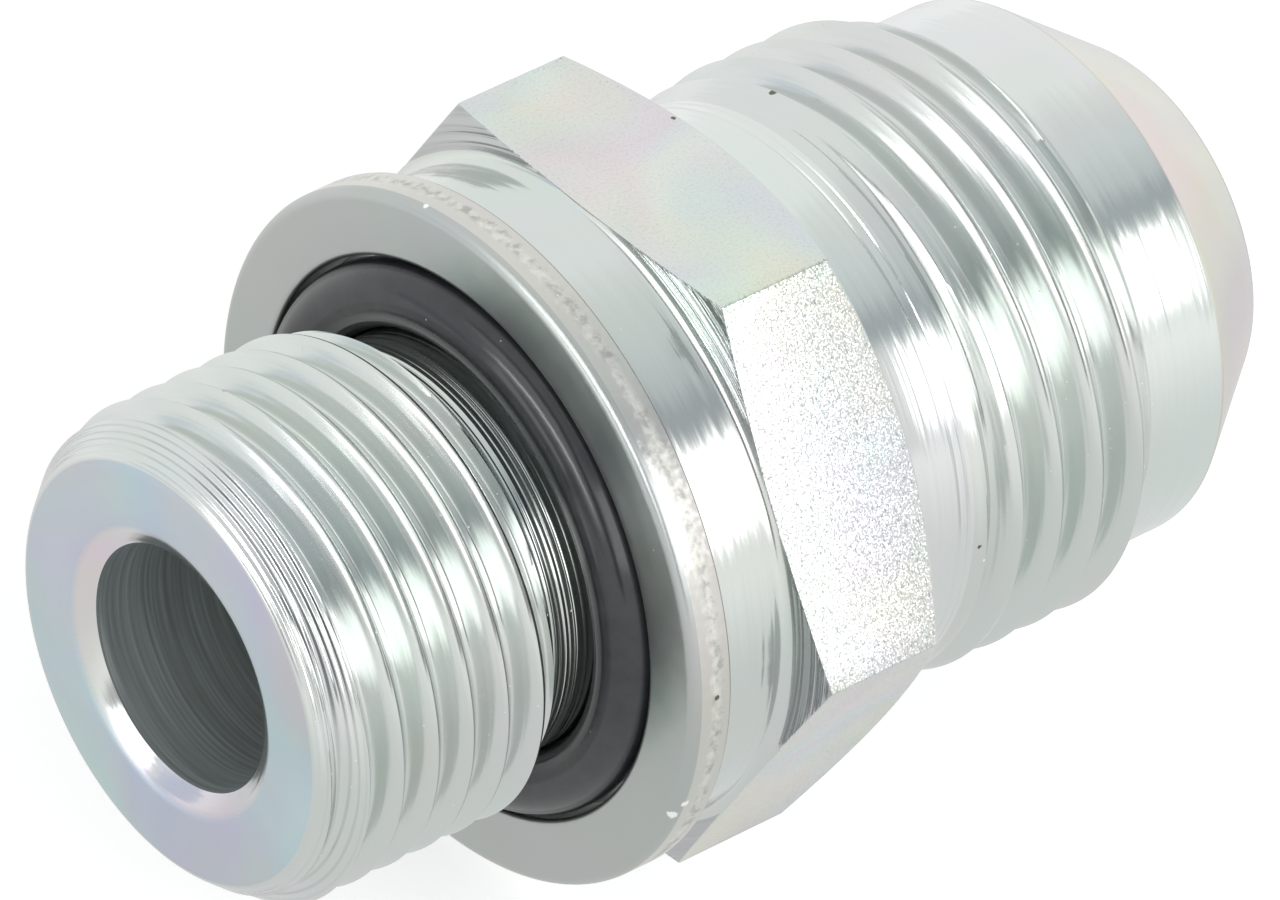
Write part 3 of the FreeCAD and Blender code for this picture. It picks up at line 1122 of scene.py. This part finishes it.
def glow_card(name, rows):
    """A card that shows only in reflections; each row is a list of (place, colour), blended in between."""
    data = bpy.data.meshes.new(name)
    width = len(rows[0])
    faces = []
    for row in range(len(rows) - 1):
        for column in range(width - 1):
            start = row * width + column
            faces.append((start, start + 1, start + width + 1, start + width))
    entries = [entry for row in rows for entry in row]
    data.from_pydata([tuple(place) for place, colour in entries], [], faces)
    glow = data.color_attributes.new("glow", "FLOAT_COLOR", "POINT")
    for index, (place, colour) in enumerate(entries):
        glow.data[index].color = (*colour, 1)
    material, tree, shader = new_material(name)
    attribute = new_node(tree, "ShaderNodeAttribute", attribute_name="glow")
    light = new_node(tree, "ShaderNodeEmission", {"Color": attribute.outputs["Color"], "Strength": 1.0})
    tree.links.new(light.outputs[0], tree.nodes["Material Output"].inputs[0])
    data.materials.append(material)
    holder = new_object(name, data)
    holder.visible_camera = False
    holder.visible_diffuse = False
    holder.visible_shadow = False
    holder.visible_transmission = False


def arc_card(name, target, distance, rows):
    """A card round the part; each row has its turn, its columns' shares along X, and their colours."""
    glow_card(name, [
        [(target + around(share, turn) * distance, colour) for share, colour in zip(shares, colours)]
        for turn, shares, colours in rows])


def build_camera(scene, stage):
    """Camera placed so that the part's axis and stud lie in the picture as the settings say."""
    camera = bpy.data.cameras.new("camera")
    camera.lens = stage.focal
    camera.sensor_width = 36.0
    camera.clip_end = 50.0
    # The part's own axes in the camera's coordinates: right, down and away
    tilt_cos = math.cos(stage.elevation)
    along = Vector((tilt_cos * math.cos(stage.azimuth), -tilt_cos * math.sin(stage.azimuth),
                    math.sin(stage.elevation)))
    toward = (Vector((0, 0, -1)) + along * along.z).normalized()
    up = toward * math.cos(stage.roll) - along.cross(toward) * math.sin(stage.roll)
    left = up.cross(along)
    origin = Vector((stage.stud_right, stage.stud_down, stage.stud_away)) - along * STUD_END
    right, down, away = (Vector(entries) for entries in zip(along, left, up))
    place = -(right * origin.x + down * origin.y + away * origin.z)
    scene.camera = new_object("camera", camera)
    set_axes(scene.camera, right, -down, -away, place)


def build_side_lights(stage, target):
    """The light at the left, whose bright middle shows as highlights, and the dark shape in front of it."""
    shares = (-0.90, -0.835, -0.81, -0.785, -0.72, -0.64, -0.55, -0.45)
    soft, dim = grey(1.7), grey(1.2)
    rows = [(-88, shares, [WHITE] * len(shares))]
    for turn, part in ((-70, 0.7), (-45, 1.0), (-12, 1.0), (8, 0.6), (28, 0.1)):
        core = grey(stage.core * part)
        rows.append((turn, shares, (soft, soft, core, soft, dim, soft, soft, dim)))
    arc_card("left_light", target, 0.50, rows)

    lens = grey(0.07)
    arc_card("lens_card", target, 0.44, (
        (-80, (-0.53, -0.42), (grey(0.6), grey(0.6))),
        (-45, (-0.54, -0.41), (grey(0.25), grey(0.25))),
        (-25, (-0.55, -0.40), (lens, lens)),
        (72, (-0.55, -0.40), (lens, lens)),
    ))


def build_grey_cards(target):
    """Greys past the hexagon's side that give the turned bands and threads their dark stripes."""
    columns = (-0.46, -0.05, 0.22, 0.90)
    pale, mid, low, dark = (0.98, 0.99, 1.0), (0.76, 0.78, 0.80), (0.64, 0.66, 0.68), (0.40, 0.43, 0.46)
    arc_card("grey_card", target, 0.46, (
        (-62, columns, (WHITE, pale, pale, pale)),
        (-46, columns, (WHITE, grey(0.9), grey(0.85), grey(0.85))),
        (-28, columns, (grey(0.9), mid, mid, mid)),
        (-14, columns, (mid, low, low, low)),
        (-5, columns, (mid, dark, dark, dark)),
        (1, columns, (mid, dark, dark, dark)),
        (4, columns, (WHITE, grey(0.7), grey(0.7), grey(0.7))),
    ))
    edge = grey(0.82)
    arc_card("frame_card", target, 0.58, (
        (2, (0.575, 0.74), (edge, edge)),
        (60, (0.575, 0.74), (edge, edge)),
    ))


def build_end_cards(target):
    """Walls past the stud's end: grey from the floor up, a light beside the bore, and a pale blue-grey."""
    wall_x = target.x - 0.5
    levels = ((-0.02, 0.80), (0.02, 0.50), (0.08, 0.42), (0.14, 0.52), (0.20, 0.72), (0.30, 1.0))
    rows = []
    for z, level in levels:
        side = max(level, 0.85)
        columns = ((-0.26, side), (-0.12, level), (0.12, level), (0.26, side))
        rows.append([(Vector((wall_x, y, z)), grey(shown)) for y, shown in columns])
    glow_card("end_card", rows)

    before_wall = wall_x + 0.01
    corners = (((-0.03, 0.07), (0.20, 0.185)), ((0.075, -0.07), (0.24, -0.03)))
    glow_card("side_light", [
        [(Vector((before_wall, y, z)), grey(2.0)) for y, z in row] for row in corners])
    blue_grey = (0.70, 0.76, 0.84)
    glow_card("far_wall", [
        [(Vector((before_wall, y, z)), blue_grey) for y in (0.27, 0.66)] for z in (-0.02, 0.12)])


def build_floor_card(target):
    """Floor as the reflections show it: darker near the part, as its own shade makes it."""
    rings = ((0.0, 0.78), (0.028, 0.81), (0.050, 0.92), (0.080, 1.0), (0.15, 1.05), (0.6, 1.05))
    steps = 32
    stretch = 1.5
    height = FLOOR + 0.02 * MM
    rows = []
    for reach, level in rings:
        row = []
        for step in range(steps + 1):
            turn = TURN * step / steps
            place = Vector((target.x + stretch * reach * math.cos(turn), reach * math.sin(turn), height))
            row.append((place, grey(level)))
        rows.append(row)
    glow_card("floor_card", rows)


def build_lights(stage):
    """A large window beside the camera, and cards that only the reflections show."""
    target = Vector((stage.lit_station, 0, 0))
    strip_lamp("window", target, distance=0.6, low=-0.72, high=0.62, first=6, last=37,
               radiance=stage.window)
    build_side_lights(stage, target)
    build_grey_cards(target)
    build_end_cards(target)
    build_floor_card(target)


def white_rays(tree):
    """Socket that is 1 for rays from the camera, reflections and glass."""
    rays = tree.nodes.new("ShaderNodeLightPath").outputs
    shiny = math_node(tree, "MAXIMUM", rays["Is Glossy Ray"], rays["Is Transmission Ray"])
    return math_node(tree, "MAXIMUM", rays["Is Camera Ray"], shiny)


def build_floor(stage):
    """Plain pale floor that keeps the part's shadow and shows white."""
    half = 3.0
    corners = [(-half, -half, FLOOR), (half, -half, FLOOR), (half, half, FLOOR), (-half, half, FLOOR)]
    data = bpy.data.meshes.new("floor")
    data.from_pydata(corners, [], [(0, 1, 2, 3)])
    material, tree, shader = new_material("pale_floor")
    shader.inputs["Base Color"].default_value = (0.82, 0.83, 0.84, 1)
    shader.inputs["Roughness"].default_value = 0.9
    shader.inputs["Specular IOR Level"].default_value = 0.1
    strength = math_node(tree, "MULTIPLY", white_rays(tree), stage.floor_glow)
    glow = new_node(tree, "ShaderNodeEmission", {"Color": (1, 1, 1, 1), "Strength": strength})
    both = tree.nodes.new("ShaderNodeAddShader")
    feed(tree, both.inputs, (shader.outputs[0], glow.outputs[0]))
    tree.links.new(both.outputs[0], tree.nodes["Material Output"].inputs[0])
    data.materials.append(material)
    new_object("floor", data)


def build_world(scene, stage):
    """Even white light, at full strength where the camera or a reflection sees it."""
    world = bpy.data.worlds.new("studio")
    scene.world = world
    world.use_nodes = True
    tree = world.node_tree
    strength = spread(tree, white_rays(tree), stage.fill, 1.0)
    feed(tree, tree.nodes["Background"].inputs, ((1, 1, 1, 1), strength))
    scene.view_settings.view_transform = "Standard"


# Operators

class FITTING_OT_body(bpy.types.Operator):
    """Builds the threaded body with its collar and hexagon"""
    bl_idname = "fitting.body"
    bl_label = "Fitting Body"

    def execute(self, context):
        scene = context.scene
        looks, stud, flare = scene.finishes, scene.stud, scene.flare
        stud_crest = STUD_END + stud.crest_station
        flare_crest = hexagon_rear(scene.hexagon) + flare.crest_station
        lead_in = (STUD_END / MM, (STUD_END + stud.lead_in) / MM, stud.ridge_step / MM)
        build_body(scene, {
            "turned": zinc_turned("zinc_turned", looks, looks.zinc, marks=0.09, comb=0.035),
            "flats": zinc_flats(looks),
            "bore": steel_bore("steel_bore", looks.bore),
            "wide_bore": steel_bore("steel_wide_bore", looks.wide_bore),
            "stud_thread": zinc_thread(
                "zinc_stud_thread", looks, stud.pitch / MM, stud_crest / MM, lead_in),
            "flare_thread": zinc_thread(
                "zinc_flare_thread", looks, flare.pitch / MM, flare_crest / MM, None),
            "end_face": zinc_face(looks),
            "cone": zinc_cone(looks),
            "neck": zinc_turned("zinc_neck", looks, looks.zinc, marks=0.50, comb=0.10, fineness=12.0),
            # Painted shade: the hexagon's front face takes a darker copy of the zinc colour
            "steep": zinc_turned(
                "zinc_steep_face", looks, looks.steep, marks=0.42, comb=0.05, fineness=13.0),
            "band": zinc_turned("zinc_band", looks, looks.band, marks=0.09, comb=0.035),
        })
        return {"FINISHED"}


class FITTING_OT_ring(bpy.types.Operator):
    """Builds the retaining ring"""
    bl_idname = "fitting.ring"
    bl_label = "Retaining Ring"

    def execute(self, context):
        looks = context.scene.finishes
        build_ring(context.scene.washer, ring_face(looks), ring_rim(looks))
        return {"FINISHED"}


class FITTING_OT_seal(bpy.types.Operator):
    """Builds the O-ring"""
    bl_idname = "fitting.seal"
    bl_label = "O-Ring"

    def execute(self, context):
        build_seal(context.scene.seal, black_rubber(context.scene.finishes))
        return {"FINISHED"}


class FITTING_OT_stage(bpy.types.Operator):
    """Sets up the camera, the lights, the floor and the backdrop"""
    bl_idname = "fitting.stage"
    bl_label = "Stage"

    def execute(self, context):
        scene = context.scene
        stage = scene.stage_settings
        build_camera(scene, stage)
        build_lights(stage)
        build_floor(stage)
        build_world(scene, stage)
        return {"FINISHED"}


OPERATORS = (FITTING_OT_stage, FITTING_OT_body, FITTING_OT_ring, FITTING_OT_seal)


class FITTING_PT_panel(bpy.types.Panel):
    """Lists the pieces of the fitting and their sizes"""
    bl_label = "Straight Adapter Fitting"
    bl_idname = "FITTING_PT_panel"
    bl_space_type = "VIEW_3D"
    bl_region_type = "UI"
    bl_category = "Fitting"

    def draw(self, context):
        for operator in OPERATORS:
            self.layout.operator(operator.bl_idname)
        for key in GROUPS:
            box = self.layout.box()
            group = getattr(context.scene, key)
            for name in GROUPS[key].__annotations__:
                box.prop(group, name)


def register():
    """Registers the settings, the operators and the panel."""
    for group in GROUPS.values():
        bpy.utils.register_class(group)
    for kind in OPERATORS + (FITTING_PT_panel,):
        bpy.utils.register_class(kind)
    for key, group in GROUPS.items():
        setattr(bpy.types.Scene, key, bpy.props.PointerProperty(type=group))


def unregister():
    """Takes them out again, in reverse order."""
    for key in GROUPS:
        delattr(bpy.types.Scene, key)
    for kind in reversed(OPERATORS + (FITTING_PT_panel,)):
        bpy.utils.unregister_class(kind)
    for group in reversed(GROUPS.values()):
        bpy.utils.unregister_class(group)


def main():
    """Builds the stage and the pieces."""
    register()
    bpy.ops.fitting.stage()
    bpy.ops.fitting.body()
    bpy.ops.fitting.ring()
    bpy.ops.fitting.seal()


if __name__ == "__main__":
    main()
